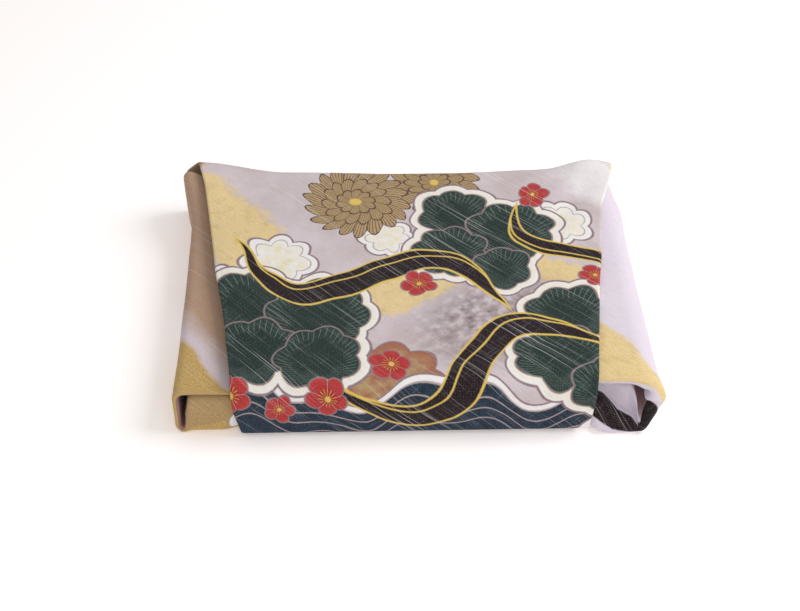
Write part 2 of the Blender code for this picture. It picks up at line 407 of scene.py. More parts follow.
def base_drop(x, y, z):
    """How far the base comes down to the table beside the tuck."""
    beside_tuck = max(abs(x) - TUCK_SPACE[0], (abs(x) + y - TUCK_SPACE[1]) / math.sqrt(2.0))
    return BAND_FOOT * rise(beside_tuck, 0.0, TUCK_SLOPE) * rise(z, -BAND_FOOT, 0.0)


print("the top sags", round(-top_lift(*SAG_MIDDLE) * 1000, 1), "mm")

# %% [markdown]
# ## The sides and their back ends
#
# From above the wrap isn't a true rectangle: the left side draws in, and the right one widens to the front.
# Under the band's back corners the left roll's end stands out like an ear, and the right one's draws in.
# The wall behind the ear follows it less than the roll does, so that the corner slopes.

# %% Sides and back ends
HALF_DEPTH = 0.1
SIDE_PART = (0.060, 0.130)
LEFT_NARROWER = (0.0015, 0.0030)  # in the middle, and from the front to the back
RIGHT_WIDER = 0.0015
LEFT_EAR = (0.0068, 0.0060, 0.0052)  # out, back, up
EAR_X = (0.116, 0.138)
EAR_Y = (0.052, 0.090)
EAR_TOP = 0.036
EAR_FADES_FROM = (0.026, 0.018)  # heights: at the roll's end, and in the wall behind it
EAR_LIFTS = (0.0, 0.027)
WALL_BEHIND = (0.091, 0.097)
LESS_AT_WALL = 0.55
RIGHT_SHOULDER = 0.0030
SHOULDER_X = (0.116, 0.134)
SHOULDER_Y = (0.060, 0.090)
SHOULDER_TOP = (0.029, 0.036)


def sides(x, y):
    """How far to the right the sides move."""
    along = y / HALF_DEPTH
    inwards = rise(-x, *SIDE_PART) * (LEFT_NARROWER[0] * (1.0 - along * along) - LEFT_NARROWER[1] * along)
    return inwards + rise(x, *SIDE_PART) * RIGHT_WIDER * max(0.0, -along)


def back_ends(x, y, z):
    """How far the rolls' back ends move."""
    at_wall = rise(y, *WALL_BEHIND)
    ear = rise(y, *EAR_Y) * rise(-x, *EAR_X) * (1.0 - rise(z, blend(*EAR_FADES_FROM, at_wall), EAR_TOP))
    shoulder = RIGHT_SHOULDER * rise(y, *SHOULDER_Y) * rise(x, *SHOULDER_X) * (1.0 - rise(z, *SHOULDER_TOP))
    out, back, up = (part * ear for part in LEFT_EAR)
    share = 1.0 - LESS_AT_WALL * at_wall
    return -out - shoulder, back * share, up * share * rise(z, *EAR_LIFTS)


print("the left ear moves", [round(v * 1000, 1) for v in back_ends(-0.140, 0.090, 0.020)], "mm")

# %% [markdown]
# ## The open ends
#
# The rolls are open in front, and their feet stand forward a little, so that one looks into them from
# above. The right one flares at half its height and is a narrower ring below. Beside the band only the foot
# of its lip leans out, which leaves a slanting facet there.

# %% Open ends
MOUTH_LEAN = {"left": 0.0045, "right": 0.0080}
MOUTH_TOP = {"left": 0.0270, "right": 0.0346}
MOUTH_BEGIN = {"left": (0.086, 0.099), "right": (0.0985, 0.1045)}
MOUTH_DEPTH = (0.060, 0.096)
BEHIND_BAND = (-0.1010, -0.0995)
ABOVE_TUCK = (-0.0020, 0.0)
FACET_START = (0.0, 0.09)
FACET_END = (0.106, 0.128)
FACET_TOP = 0.0125
FLARE = 0.0028
FLARE_HEIGHT = (0.026, 0.012)  # middle and reach
FLARE_X = (0.126, 0.142)
FLARE_Y = (0.078, 0.097)
RING_IN = 0.0050
RING_HEIGHT = (0.006, 0.022)


def open_ends(x, y, z):
    """How far the rolls' open ends move to the right and back."""
    side = side_of(x)
    near_band = rise(x, *FACET_START) * (1.0 - rise(x, *FACET_END))
    low = 1.0 - min(1.0, max(0.0, z / blend(MOUTH_TOP[side], FACET_TOP, near_band)))
    behind_band = rise(y, *BEHIND_BAND) * rise(z, *ABOVE_TUCK)
    forward = MOUTH_LEAN[side] * low * rise(abs(x), *MOUTH_BEGIN[side]) * behind_band * rise(-y, *MOUTH_DEPTH)
    flare = FLARE * (1.0 - rise(abs(z - FLARE_HEIGHT[0]), 0.0, FLARE_HEIGHT[1]))
    flare -= RING_IN * (1.0 - rise(z, *RING_HEIGHT))
    return rise(x, *FLARE_X) * rise(-y, *FLARE_Y) * flare, -forward


print("the right foot stands", round(-open_ends(0.140, -FRONT, 0.0)[1] * 1000, 1), "mm forward")

# %% [markdown]
# ## Creases and ripples
#
# The band isn't ironed. Six soft troughs and ridges are listed, each along a line and lowest or highest in
# its middle, and smooth noise moves the rest by less than a millimetre. A bump map could show them, but as
# shape they also catch the light at the edges. Last, `folded` makes all the moves in turn.

# %% Creases, ripples and the whole fold
RIPPLE_SIZE = 24.0  # humps to the metre
RIPPLE = 0.0009
RIPPLE_FROM = (0.001, 0.014)
RIPPLE_SEED = 1145  # without a seed the noise would start from the clock, and differ in each run
CREASED_FROM = (0.020, 0.032)
CREASE_ENDS = 0.35  # share of its depth that a crease keeps at its ends
CREASES = (  # from x, y to x, y, width, height
    (0.128, 0.096, 0.088, 0.030, 0.011, -0.0012),
    (0.112, 0.100, 0.062, 0.074, 0.009, 0.0009),
    (-0.132, 0.094, -0.096, 0.040, 0.010, -0.0009),
    (-0.118, 0.030, -0.100, -0.060, 0.009, 0.0008),
    (0.020, -0.080, 0.094, -0.062, 0.010, -0.0008),
    (-0.070, -0.088, -0.010, -0.078, 0.010, 0.0006),
)


def crease_height(x, y):
    """Height of the troughs and ridges at a point of the top."""
    height = 0.0
    for x0, y0, x1, y1, width, depth in CREASES:
        start, way = Vector((x0, y0)), Vector((x1 - x0, y1 - y0))
        part = min(1.0, max(0.0, (Vector((x, y)) - start).dot(way) / way.length_squared))
        away = (Vector((x, y)) - start - part * way).length
        fade = 4.0 * part * (1.0 - part)
        height += depth * (1.0 - rise(away, 0.0, width)) * blend(CREASE_ENDS, 1.0, fade)
    return height


def settled(x, y, z):
    hollow = rise(z, *HOLLOW)
    ripple = noise.noise_vector(Vector((x, y, z)) * RIPPLE_SIZE) * RIPPLE * rise(z, *RIPPLE_FROM)
    end_x, end_y, end_z = back_ends(x, y, z)
    open_x, open_y = open_ends(x, y, z)
    sunk = base_drop(x, y, z) * (1.0 - hollow)
    return (
        x + sides(x, y) + end_x + open_x + ripple.x,
        y + end_y + open_y + ripple.y,
        z + top_lift(x, y) * hollow - sunk + end_z + ripple.z + crease_height(x, y) * rise(z, *CREASED_FROM),
    )


def folded(p, q):
    """Where the cloth's point (p, q), measured flat from its middle, lies in the wrap."""
    point = fold_front(p, q)
    point = fold_side("left", *point)
    point = fold_side("right", *point)
    return settled(*fold_back(*point))


noise.seed_set(RIPPLE_SEED)
print("the middle of the band's top is", round(folded(0.0, 0.230)[2] * 1000, 1), "mm above the base")

# %% [markdown]
# ## Where the cloth needs points
#
# The mesh is a grid on the flat square, turned 45 degrees, so that its rows and columns follow the folds. It
# is fine where the cloth bends or shows, and coarse in the hidden layers. A table of stretches, each with
# its own step, says so.

# %% Rows and columns of the grid
COLUMN_STEPS = {  # distance from the middle line, and the step up to there
    "left": ((0.112, 0.0032), (0.1338, 0.0024), (0.1375, 0.0012), (0.1440, 0.0007), (0.1480, 0.0012),
             (0.158, 0.0030), (0.170, 0.0015), (0.206, 0.0028), (0.480, 0.0120)),
    "right": ((0.112, 0.0032), (0.1260, 0.0015), (0.1375, 0.0014), (0.1440, 0.0007), (0.1490, 0.0013),
              (0.154, 0.0018), (0.175, 0.0018), (0.210, 0.0028), (0.480, 0.0120)),
}
ROW_STEPS = (  # distance from the front corner's row, and the step up to there
    (-0.310, 0.0110), (-0.286, 0.0035), (-0.145, 0.0120), (-0.1185, 0.0030), (-0.0900, 0.0013),
    (-0.060, 0.0025), (0.0830, 0.0048), (0.1015, 0.0009), (0.1260, 0.0033), (0.1360, 0.0012),
    (0.3180, 0.0029), (0.3400, 0.0018), (0.3600, 0.0024), (0.3690, 0.0011), (0.480, 0.0100),
)


def stepped(start, stretches):
    """Evenly divided stretches, each about as fine as its step says."""
    found = [start]
    for end, step in stretches:
        count = max(1, round((end - found[-1]) / step))
        first = found[-1]
        found += [blend(first, end, (i + 1) / count) for i in range(count)]
    return found


left_columns = stepped(0.0, COLUMN_STEPS["left"])
columns = [-c for c in reversed(left_columns)] + stepped(0.0, COLUMN_STEPS["right"])[1:]
rows = stepped(-0.480, ROW_STEPS)
print(len(columns), "columns and", len(rows), "rows")

# %% [markdown]
# ## The sheet
#
# `create_grid` makes the flat cloth, and four cuts with `bisect_plane` make it the tilted square. Each point
# gets its folded place before the cuts, in a layer of its own, so that the points on the cut edges get
# theirs too. The flat place goes into the UV map, with the threads along U and V, because the print and the
# weave belong to the cloth and have to bend with it.

# %% Fold the sheet
SHEET_THICKNESS = 0.0006
TAPER_WIDTH = 0.12  # the columns this near the middle give way to the band's taper
FOLDED_PAST = 0.03  # points a little past the square's edges are folded too, for the cuts
FRAME_SHIFT = (0.0006, 0.0027)  # puts the wrap where the CAD solid is, which is centred on its box


def flat_place(i, j):
    """A grid point's flat place. Behind, the columns follow the band's tapered edge."""
    x, y = columns[i], rows[j]
    narrower = HALF_WIDTH - from_table(BAND_EDGE[side_of(x)], y)
    return x - math.copysign(narrower * min(1.0, abs(x) / TAPER_WIDTH), x), y


bm = bmesh.new()
bmesh.ops.create_grid(bm, x_segments=len(columns) - 1, y_segments=len(rows) - 1, size=1.0)
place = bm.verts.layers.float_vector.new("place")
for vert in bm.verts:
    i = round((vert.co.x + 1.0) / 2.0 * (len(columns) - 1))
    j = round((vert.co.y + 1.0) / 2.0 * (len(rows) - 1))
    vert.co.x, vert.co.y = flat_place(i, j)
for vert in bm.verts:
    if abs(vert.co.x) + abs(vert.co.y) < HALF_DIAGONAL + FOLDED_PAST:
        vert[place] = folded(vert.co.x, vert.co.y)
for across, along in ((1, 1), (1, -1), (-1, 1), (-1, -1)):
    bmesh.ops.bisect_plane(
        bm,
        geom=bm.verts[:] + bm.edges[:] + bm.faces[:],
        dist=2e-5,
        plane_co=(across * HALF_DIAGONAL, 0.0, 0.0),
        plane_no=(across, along, 0.0),
        clear_outer=True,
    )
print(len(bm.faces), "faces in the flat square")

# %% Keep the flat place as the UV map, then move each point to its fold
uv_layer = bm.loops.layers.uv.new("threads")
for face in bm.faces:
    face.smooth = True
    for loop in face.loops:
        p, q = loop.vert.co.x, loop.vert.co.y
        loop[uv_layer].uv = (0.5 + (p + q) / 2 / HALF_DIAGONAL, 0.5 + (q - p) / 2 / HALF_DIAGONAL)
for vert in bm.verts:
    vert.co = vert[place]
bm.verts.layers.float_vector.remove(place)

lowest = min(vert.co.z for vert in bm.verts)
to_centre = Vector((*FRAME_SHIFT, SHEET_THICKNESS / 2 - lowest))
bmesh.ops.translate(bm, verts=bm.verts[:], vec=to_centre)

mesh = bpy.data.meshes.new("furoshiki")
bm.to_mesh(mesh)
bm.free()
wrap = bpy.data.objects.new("furoshiki", mesh)
bpy.context.scene.collection.objects.link(wrap)
thickness = wrap.modifiers.new("thickness", "SOLIDIFY")
thickness.thickness = SHEET_THICKNESS
thickness.offset = 0.0
print("moved by", [round(v * 1000, 2) for v in to_centre], "mm")

# %% [markdown]
# ## Shader maths that reads as maths
#
# The print is worked out by shader nodes, and there are many of them. A node for each sum would be hard to
# read, so one small class wraps a node's output and lets it stand in an ordinary expression. `node` adds any
# other node: its kind, its settings, and the values or links of its sockets. Two sums come so often that
# they have names: `ramp` is a straight slope that is kept from 0 to 1, and `bows` is a row of round arches.

# %% Shader maths
cotton = bpy.data.materials.new("slub_cotton_print")
cotton.use_nodes = True
tree = cotton.node_tree
surface = tree.nodes["Principled BSDF"]


class Value:
    """A node's output that can be used in sums."""

    def __init__(self, socket):
        self.socket = socket

    def __add__(self, other):
        return maths("ADD", self, other)

    def __sub__(self, other):
        return maths("SUBTRACT", self, other)

    def __rsub__(self, other):
        return maths("SUBTRACT", other, self)

    def __mul__(self, other):
        return maths("MULTIPLY", self, other)

    def __truediv__(self, other):
        return maths("DIVIDE", self, other)

    __radd__ = __add__
    __rmul__ = __mul__


def node(kind, settings=None, values=None, output=0):
    """Adds a node, makes its settings, and fills or links its sockets."""
    made = tree.nodes.new(kind)
    for name, value in (settings or {}).items():
        setattr(made, name, value)
    for key, value in (values or {}).items():
        if isinstance(value, Value):
            tree.links.new(value.socket, made.inputs[key])
        else:
            made.inputs[key].default_value = value
    return Value(made.outputs[output])


def maths(operation, *values, clamp=False):
    """One sum. `clamp` keeps it from 0 to 1 with two more nodes, which take less room than the tick box."""
    result = node("ShaderNodeMath", {"operation": operation}, dict(enumerate(values)))
    return maths("MAXIMUM", maths("MINIMUM", result, 1.0), 0.0) if clamp else result


def ramp(value, slope, start):
    return maths("MULTIPLY_ADD", value, slope, start, clamp=True)


def bows(angle):
    return maths("ABSOLUTE", maths("SINE", angle))


def vectors(operation, *values, output=0):
    return node("ShaderNodeVectorMath", {"operation": operation}, dict(enumerate(values)), output)


def scaled(vector, factor):
    return node("ShaderNodeVectorMath", {"operation": "SCALE"}, {0: vector, "Scale": factor})


def split(vector):
    """The X and the Y of a vector."""
    parts = node("ShaderNodeSeparateXYZ", {}, {0: vector}).socket.node.outputs
    return Value(parts[0]), Value(parts[1])


def srgb(red, green, blue):
    """A colour as a picture editor shows it, as the shader needs it."""
    shares = (red / 255, green / 255, blue / 255)
    return (*(v / 12.92 if v <= 0.04045 else ((v + 0.055) / 1.055) ** 2.4 for v in shares), 1.0)


print("the surface is a", surface.bl_idname)

# %% [markdown]
# ## The cloth's own coordinates
#
# The UV map says where a point lies on the flat square, with U and V along the threads. The weave uses it as
# it is, in centimetres. The print stands upright when the folded wrap is seen, so one Mapping node turns the
# square by 45 degrees and counts from the middle of what the band shows. A little noise then moves every
# coordinate, so that no drawn line is ruled: a slow wobble, as of a brush, and a fine one, as where colour
# creeps along the threads.

# %% Threads and page
CM = 100  # to the metre
PAGE_MIDDLE_ROW = 0.250  # the cloth's row in the middle of the band, in metres
WOBBLE = (0.40, 0.70)  # humps to the centimetre, and how far they move a line
CREEP = (12.0, 0.06)
ALONG_THREADS = (0.25, 1.0, 1.0)

threads_uv = node("ShaderNodeUVMap", {"uv_map": "threads"})
threads = scaled(threads_uv, CLOTH_SIDE * CM)
ruled_page = node(
    "ShaderNodeMapping",
    {"vector_type": "POINT"},
    {
        "Vector": threads_uv,
        "Location": (0.0, (HALF_DIAGONAL + PAGE_MIDDLE_ROW) * CM, 0.0),
        "Rotation": (0.0, 0.0, -RIGHT_ANGLE / 2),
        "Scale": (CLOTH_SIDE * CM, -CLOTH_SIDE * CM, 1.0),
    },
)


def noise_on(place, scale, stretch=(1.0, 1.0, 1.0), detail=2.0, output="Factor"):
    """Smooth noise, `scale` humps to the centimetre, drawn out along one axis by a stretch under 1."""
    at = node("ShaderNodeMapping", {"vector_type": "POINT"}, {"Vector": place, "Scale": stretch})
    name = {"Factor": 0, "Color": 1}[output]
    return node("ShaderNodeTexNoise", {}, {"Vector": at, "Scale": scale, "Detail": detail}, name)


def shaken(place, noise_colour, reach):
    off = vectors("SUBTRACT", noise_colour, (0.5, 0.5, 0.5))
    return vectors("MULTIPLY_ADD", off, (reach, reach, 0.0), place)


page = shaken(ruled_page, noise_on(ruled_page, WOBBLE[0], detail=0.0, output="Color"), WOBBLE[1])
page = shaken(page, noise_on(threads, CREEP[0], ALONG_THREADS, output="Color"), CREEP[1])
print("page from", ruled_page.socket.node.bl_idname)

# %% [markdown]
# ## Brushes
#
# Each motif is a *distance*: how far a point is outside its edge, negative inside. A shape is then filled
# where the distance is under 0, and outlined where it is near 0. `paint` lays one colour over what is
# already there, so the print is built up from the ground to the last line, as a dyer would. A painted image
# would be quicker to look at, but a distance stays sharp at any size and needs no file.

# %% Brushes
EDGE = 0.035  # cm over which a painted edge fades


def inside(distance, fade=EDGE):
    """1 inside the edge, 0 outside it."""
    return ramp(distance, -0.5 / fade, 0.5)


def along_edge(distance, width):
    return inside(maths("ABSOLUTE", distance) - width / 2)


def paint(below, mask, colour):
    return node("ShaderNodeMix", {"data_type": "RGBA"}, {0: mask, 6: below, 7: colour}, 2)


def over(one, other):
    """Both shapes together."""
    return maths("MINIMUM", one, other)


def local(centre, turn=0.0, place=None):
    """The page seen from a motif's own middle, turned with it."""
    return node(
        "ShaderNodeMapping",
        {"vector_type": "TEXTURE"},
        {"Vector": place or page, "Location": (*centre, 0.0), "Rotation": (0.0, 0.0, math.radians(turn))},
    )


def polar(at):
    """Distance from the middle, and the angle round it from -pi to pi."""
    across, up = split(at)
    return vectors("LENGTH", at, output=1), maths("ARCTAN2", up, across)


def scalloped(centre, radius, scallops, depth, turn=0.0):
    """A round shape whose edge is a ring of small bows."""
    away, angle = polar(local(centre, turn))
    bow = bows(angle * (scallops / 2))
    return away - maths("MULTIPLY_ADD", bow, radius * depth, radius * (1 - depth))


def stroke(points):
    """A brush stroke through points given as x, y and half its width there."""
    whole = None
    for (x0, y0, half0), (x1, y1, half1) in zip(points, points[1:]):
        way = Vector((x1 - x0, y1 - y0, 0.0))
        off = vectors("SUBTRACT", page, (x0, y0, 0.0))
        projected = vectors("DOT_PRODUCT", off, way, output=1)
        part = maths("MULTIPLY", projected, 1.0 / way.length_squared, clamp=True)
        away = vectors("DISTANCE", off, scaled(way, part), output=1)
        segment = away - maths("MULTIPLY_ADD", part, half1 - half0, half0)
        whole = over(whole, segment) if whole else segment
    return whole


def ribbon(centre, turn, half_length, waves, height, width):
    """A brush stroke along a sine wave, pointed at both ends: the distance, and the offset to one side."""
    along, across = split(local(centre, turn))
    turns = waves * math.pi / half_length
    slope = maths("COSINE", along * turns) * (height * turns)
    steepness = maths("INVERSE_SQRT", maths("MULTIPLY_ADD", slope, slope, 1.0))
    offset = (across - maths("SINE", along * turns) * height) * steepness
    part = along / half_length
    swell = maths("MULTIPLY_ADD", part * part, -width / 2, width / 2)
    return maths("ABSOLUTE", offset) - swell, offset


print(len(tree.nodes), "nodes so far")

# %% [markdown]
# ## Ground, gold mist and clouds
#
# The ground is a pale mauve-grey. Bands of gold dust drift over it with soft, uneven edges, a mottled
# grey cloud hangs lower down, and white scrolls with a mauve outline lie between them.

# %% Colours
MAUVE_GREY = srgb(197, 182, 182)
LAVENDER = srgb(218, 206, 214)
FLAP_LAVENDER = srgb(221, 211, 222)
GOLD = srgb(222, 191, 126)
PALE_GOLD = srgb(231, 210, 164)
OLIVE_GOLD = srgb(170, 142, 88)
# tan of the print, painted darker as shade for the left roll and its open end
TAN_AND_SHADE_BROWN = srgb(180, 148, 124)
# painted shadow deep inside the left open end
HOLLOW_SHADOW_BROWN = srgb(150, 112, 108)
# deep inside the right open end: the cloth's mauve, darker as painted shade
HOLLOW_SHADE_MAUVE = srgb(224, 192, 196)
SHADED_GOLD = srgb(184, 150, 86)
MOSS = srgb(58, 62, 42)
MOSS_TAN = srgb(150, 126, 98)
PETAL_RED = srgb(150, 38, 42)
TERRACOTTA = srgb(160, 98, 74)
INK_GREY = srgb(128, 110, 110)
WHITE = srgb(236, 232, 231)
CREAM = srgb(230, 219, 182)
OUTLINE = srgb(140, 118, 122)
PALE_LINE = srgb(176, 158, 158)
GREEN = srgb(34, 68, 60)
DEEP_GREEN = srgb(22, 42, 40)
TEAL = srgb(32, 54, 72)
DEEP_TEAL = srgb(24, 38, 54)
AUBERGINE = srgb(30, 14, 20)
GOLD_LINE = srgb(220, 188, 92)
RED = srgb(184, 52, 52)
TAN = srgb(176, 148, 106)
DARK_BROWN = srgb(72, 48, 44)
# painted shade of yarns that lie lower
YARN_SHADE_COLOUR = srgb(44, 32, 34)
UNDYED = srgb(244, 240, 238)
print("the white is", [round(v, 3) for v in WHITE[:3]], "in the shader")

# %% Ground
slow = noise_on(ruled_page, 0.35, detail=3.0)
mottle = noise_on(ruled_page, 1.6, detail=6.0)
grains = noise_on(ruled_page, 9.0, detail=3.0)
colour = paint(MAUVE_GREY, ramp(slow, 2.0, -0.7), LAVENDER)
page_x, page_y = split(page)

MISTS = (  # x, y, half length, half height, turn
    (-11.0, 5.6, 6.2, 2.5, -58.0),
    (14.5, 12.0, 2.4, 1.2, 90.0),
    (-1.6, -0.2, 5.0, 1.7, 25.0),
    (9.4, 1.2, 3.4, 1.1, -30.0),
)
# white over the back right corner: the print's white and a painted highlight on the raised fold there
WHITE_AND_HIGHLIGHT_CORNER = (12.6, 9.8, 3.0, 1.7, -50.0)
BACK_CORNER = (-14.6, 12.6, 2.6, 1.3, 90.0)
SMOKE = (5.0, -2.6, 4.8, 3.4, 20.0)


def mist(x, y, half_length, half_height, turn):
    """A long soft oval."""
    at = local((x, y), turn)
    squeezed = vectors("MULTIPLY", at, (1 / half_length, 1 / half_height, 0.0))
    return vectors("LENGTH", squeezed, output=1) - 1.0


gold_dust = maths("MULTIPLY_ADD", mottle, 0.7, -0.35)
golds = paint(GOLD, ramp(grains, 2.4, -0.8), PALE_GOLD)
golds = paint(golds, ramp(mottle, 2.6, -1.35) * 0.6, OLIVE_GOLD)
for row in MISTS:
    veil = inside(mist(*row) + gold_dust, 0.12)
    colour = paint(colour, veil * 0.95, golds)
# The back right corner: the print's white, and a painted highlight where the raised fold catches the light.
white_and_highlight_corner = inside(mist(*WHITE_AND_HIGHLIGHT_CORNER) + gold_dust, 0.30)
colour = paint(colour, white_and_highlight_corner * 0.8, WHITE)
back_corner = inside(mist(*BACK_CORNER) + gold_dust, 0.15)
colour = paint(colour, back_corner, MOSS_TAN)
smoke = inside(mist(*SMOKE) + gold_dust, 0.35)
colour = paint(colour, smoke * ramp(mottle, 2.8, -0.95), INK_GREY)
colour = paint(colour, smoke * ramp(grains, 4.0, -2.3) * 0.6, INK_GREY)
print(len(tree.nodes), "nodes with the ground")

# %% [markdown]
# ## The side flaps' stripes
#
# The two flaps cross the same gold and tan stripes, so each roll is tan or lavender at the back and gold at
# its foot. The stripes are straight and slanting, and `slant` counts across them. The left roll lies in
# shade,
# so its colours are painted darker there: painted shade. Inside the open ends those rows get darker colours
# of their own, painted shade and painted shadow over the cloth's colours.

# %% Flaps
FLAP_ROW = 14.0  # where the flaps' part of the page begins
LEFT_STRIPE = (8.3, 24.0)  # from and to, on the slant
RIGHT_STRIPE = (55.2, 35.2)  # from, on the slant and in rows
PANEL_ROW = 35.1
PANEL_LEFT = (4.0, 14.0)  # centimetres to the left of the middle
LEFT_HOLLOW = (35.9, 13.4)  # the row, and how far to the left it starts
RIGHT_HOLLOW = (37.1, 12.8)
PEBBLE = (-10.3, 35.0, 0.62, 0.46, 30.0)

slant = maths("MULTIPLY_ADD", page_x, 1.35, page_y)
on_flaps = ramp(page_y, 0.6, -0.6 * FLAP_ROW)
gold_edge = maths("MULTIPLY_ADD", gold_dust, 0.5, slant)
# The left roll lies in shade: painted shade makes its tan darker and mixes at least 30 percent into its
# lavender.
tan_and_shade_fade = maths("MAXIMUM", ramp(slant, -0.32, 2.7), 0.30)
before_gold = inside(gold_edge - LEFT_STRIPE[0], 0.30)
tan_and_shade_part = on_flaps * before_gold * tan_and_shade_fade
colour = paint(colour, on_flaps, FLAP_LAVENDER)
colour = paint(colour, tan_and_shade_part, TAN_AND_SHADE_BROWN)
left_gold = on_flaps * maths("SUBTRACT", inside(gold_edge - LEFT_STRIPE[1], 0.30), before_gold)
colour = paint(colour, left_gold, paint(SHADED_GOLD, ramp(grains, 2.4, -1.0), GOLD))
right_gold = on_flaps * inside((gold_edge - RIGHT_STRIPE[0]) * -1.0, 0.30)
right_gold = right_gold * inside(page_y - RIGHT_STRIPE[1], 0.10)
colour = paint(colour, right_gold, golds)
print(len(tree.nodes), "nodes with the stripes")

# %% Inside the open ends
right_edge, left_edge = PANEL_LEFT
# The left end's front panel: gold painted over with olive and tan, partly the cloth's gold, partly painted
# shade.
left_panel_shade = maths("GREATER_THAN", page_y, PANEL_ROW)
left_panel_shade = left_panel_shade * inside(page_x + right_edge) * inside(page_x * -1.0 - left_edge, 0.4)
colour = paint(colour, left_panel_shade * 0.8, paint(OLIVE_GOLD, ramp(grains, 3.0, -1.2), TAN_AND_SHADE_BROWN))
# Deep inside the left open end: mauve brown, a painted shadow in the gap.
left_hollow_shadow = maths("GREATER_THAN", page_y, LEFT_HOLLOW[0]) * inside(page_x + LEFT_HOLLOW[1], 0.2)
colour = paint(colour, left_hollow_shadow, HOLLOW_SHADOW_BROWN)
# Deep inside the right open end: a darker mauve, partly the cloth's colour and partly painted shade.
right_hollow_shade = maths("GREATER_THAN", page_y, RIGHT_HOLLOW[0]) * inside(RIGHT_HOLLOW[1] - page_x, 0.2)
colour = paint(colour, right_hollow_shade, HOLLOW_SHADE_MAUVE)
pebble = mist(*PEBBLE)
colour = paint(colour, inside(pebble - 0.35, 0.08), TAN)
colour = paint(colour, inside(pebble, 0.08), WHITE)
print(len(tree.nodes), "nodes with the flaps")

# %% [markdown]
# ## Clouds
#
# Small white clouds with a scalloped rim fill the corners of the ground. `scalloped` gives their distance, so
# the cream middle and both outlines are the same shape a little further in.

# %% Clouds
CLOUDS = (  # x, y, radius, scallops, turn
    (-8.2, 3.0, 2.5, 7, 10.0),
    (9.6, 6.2, 2.2, 7, 40.0),
    (-1.4, 5.2, 1.9, 6, 20.0),
    (-11.6, 0.6, 1.7, 6, 0.0),
)
for x, y, radius, scallops, turn in CLOUDS:
    cloud = scalloped((x, y), radius, scallops, 0.22, turn)
    colour = paint(colour, inside(cloud), WHITE)
    colour = paint(colour, inside(cloud + 0.75, 0.5) * ramp(mottle, 3.0, -1.0), CREAM)
    colour = paint(colour, along_edge(cloud, 0.17), OUTLINE)
    colour = paint(colour, along_edge(cloud + 0.55, 0.09) * 0.7, OUTLINE)
print(len(tree.nodes), "nodes with the clouds")

# %% [markdown]
# ## A hill and chrysanthemums
#
# A terracotta hill lies low on the page, and two gold chrysanthemums stand at the back edge. A flower is
# three rings of petals, the largest first, and each ring is a distance from the middle that swings with the
# angle. The fine hairs on the petals are the same swing many times faster.

# %% Hill and chrysanthemums
HILL = ((-1.2, -7.2), 3.0, 7, 0.20, 12.0)
CHRYSANTHEMUMS = (  # x, y, radius, turn
    (1.8, 10.9, 3.1, 40.0),
    (-3.4, 8.9, 3.5, 15.0),
)
PETAL_RINGS = ((1.0, 9.0, 0.0), (0.66, 7.0, 0.4), (0.36, 5.0, 0.9))  # share of the radius, petals, lean
PETAL_SHARE = 0.18  # how much of a ring's radius its petals stand out
HAIRS = 44.0

hill = scalloped(*HILL)
colour = paint(colour, inside(hill), TERRACOTTA)
colour = paint(colour, inside(hill + 0.5, 0.4) * ramp(mottle, 3.0, -0.9), TAN)
colour = paint(colour, along_edge(hill, 0.12), OUTLINE)
for x, y, radius, turn in CHRYSANTHEMUMS:
    away, angle = polar(local((x, y), turn))
    leaning = angle + away * 0.16
    hair_lines = ramp(bows(leaning * HAIRS), -3.5, 1.6)
    for part, petals, lean in PETAL_RINGS:
        tips = bows(maths("MULTIPLY_ADD", leaning, petals, lean))
        out, inner = radius * part * PETAL_SHARE, radius * part * (1 - PETAL_SHARE)
        ring = away - maths("MULTIPLY_ADD", tips, out, inner)
        petal_lines = ramp(tips, -5.0, 1.0)
        colour = paint(
            colour, inside(ring), paint(TAN, maths("MAXIMUM", hair_lines, petal_lines), DARK_BROWN)
        )
        colour = paint(colour, along_edge(ring, 0.10), DARK_BROWN)
    colour = paint(colour, inside(away - radius * 0.10), GOLD_LINE)
print(len(tree.nodes), "nodes with the chrysanthemums")

# %% [markdown]
# ## Waves
#
# Along the front edge runs a dark sea with a white shore. A slow swell and a quicker one are added to make a
# line that doesn't repeat soon, and the pale lines below it are the same line again, deeper each time.

# %% Waves
SWELL_HEIGHT = 0.9
SHORE_HEIGHT = 0.45
SEA_LEVEL = 8.4  # centimetres below the page's middle
SHORE_WIDTH = 0.55
SHORE_ENDS = 16.0
SEA_ENDS = 15.6

swell = maths("SINE", maths("MULTIPLY_ADD", page_x, 0.55, 0.6))
shore = maths("SINE", maths("MULTIPLY_ADD", page_x, 1.35, 2.0))
sea = page_y - (swell * SWELL_HEIGHT + shore * SHORE_HEIGHT - SEA_LEVEL)
shore_line = maths("MAXIMUM", sea - SHORE_WIDTH, page_y * -1.0 - SHORE_ENDS)
colour = paint(colour, inside(shore_line), WHITE)
colour = paint(colour, along_edge(shore_line, 0.15), OUTLINE)
deep_sea = paint(TEAL, ramp(mottle, 3.0, -1.0), DEEP_TEAL)
sea = maths("MAXIMUM", sea, page_y * -1.0 - SEA_ENDS)
colour = paint(colour, inside(sea), deep_sea)
for depth, width in ((0.0, 0.13), (0.8, 0.09), (1.6, 0.09), (2.5, 0.09)):
    colour = paint(colour, along_edge(sea + depth, width), PALE_LINE)
print(len(tree.nodes), "nodes with the waves")

# %% [markdown]
# ## Pine boughs
#
# Pine is drawn in the traditional way, as rounded lobes of needles that lie over each other. The lobes of a
# bough together give its white edge, because the nearest of several distances is the distance to all of
# them. Then each lobe is painted over the one behind it, with needles that fan out from its foot.

